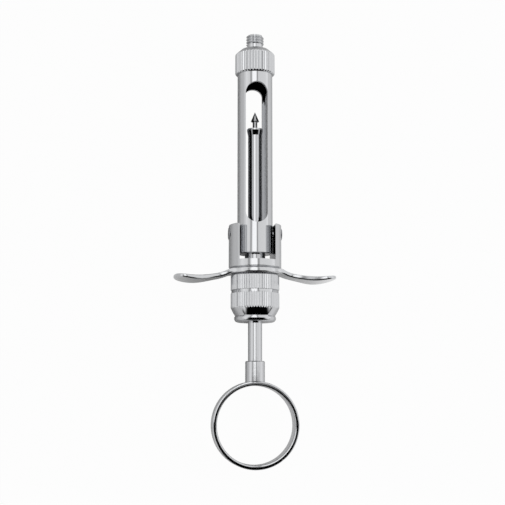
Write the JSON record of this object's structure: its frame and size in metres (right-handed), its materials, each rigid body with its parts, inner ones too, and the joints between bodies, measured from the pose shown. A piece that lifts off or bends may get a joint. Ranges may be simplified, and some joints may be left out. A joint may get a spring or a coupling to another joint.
{
  "type": "dental aspirating syringe",
  "caption": "Breech-loading metal dental cartridge syringe with a windowed barrel, winged finger grip, harpoon plunger and thumb ring.",
  "frame": {"origin": "on the barrel's axis, at the collar's front face where a needle hub seats", "axes": "+Y along the barrel towards the needle, +X along the finger grip, +Z out of the front window; the syringe lies on its back"},
  "size_m": [0.05, 0.1348, 0.0164],
  "materials": {
    "chromed_brass": "polished",
    "chromed_tube": "polished",
    "screw_steel": "polished",
    "sleeve_steel": "polished",
    "spring_steel": "drawn wire",
    "plunger_steel": "polished",
    "harpoon_steel": "ground",
    "ring_chrome": "polished"
  },
  "bodies": {
    "body": {"needle_adaptor": "chromed_brass", "barrel": "chromed_tube", "fork": "chromed_brass", "left_pivot_screw": "screw_steel", "right_pivot_screw": "screw_steel", "finger_grip": "chromed_brass", "grip_nut": "chromed_brass", "rear_cap": "chromed_brass", "lock_spring": "spring_steel"},
    "lock": {"locking_sleeve": "sleeve_steel", "sleeve_collar": "sleeve_steel"},
    "plunger": {"plunger_rod": "plunger_steel", "harpoon": "harpoon_steel"},
    "ring": {"ring_ferrule": "plunger_steel", "thumb_ring": "ring_chrome"}
  },
  "joints": [
    {"name": "sleeve_slide", "type": "slide", "parent": "body", "child": "lock", "axis": [0, 1, 0], "range_m": [-0.0031, 0], "stiffness_N_per_m": 900, "springref_m": 0.002, "deforming": ["lock_spring"]},
    {"name": "plunger_slide", "type": "slide", "parent": "body", "child": "plunger", "axis": [0, 1, 0], "range_m": [-0.0443, 0.01172]},
    {"name": "ring_spin", "type": "hinge", "parent": "plunger", "child": "ring", "pos_m": [0, -0.1, 0], "axis": [0, 1, 0], "continuous": true}
  ]
}
